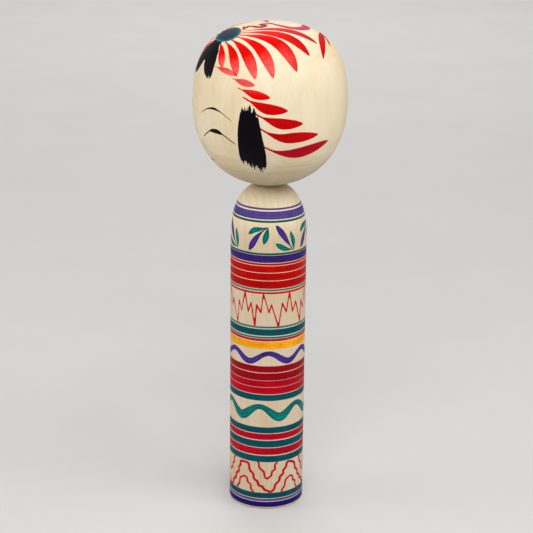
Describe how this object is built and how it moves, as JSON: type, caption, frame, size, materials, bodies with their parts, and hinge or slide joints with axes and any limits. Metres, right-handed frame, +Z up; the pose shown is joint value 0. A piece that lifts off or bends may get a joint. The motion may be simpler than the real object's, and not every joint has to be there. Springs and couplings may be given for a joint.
{
  "type": "kokeshi doll",
  "caption": "Turned wooden kokeshi doll with a striped cylindrical body and a barrel-shaped head that turns on a neck tenon.",
  "frame": {"origin": "centre of the base, on the surface that the doll stands on", "axes": "+Z up along the doll's axis; the face looks along -Y"},
  "size_m": [0.0734, 0.0734, 0.2403],
  "materials": {
    "body_wood": "satin waxed pale wood with hand-painted dye bands",
    "head_wood": "satin waxed pale wood with a brush-painted face, hair and crown ornament"
  },
  "bodies": {
    "doll_body": {"body": "body_wood"},
    "doll_head": {"head": "head_wood"}
  },
  "joints": [
    {"name": "head_turn", "type": "hinge", "parent": "doll_body", "child": "doll_head", "pos_m": [0, 0, 0.163], "axis": [0, 0, 1], "continuous": true}
  ]
}
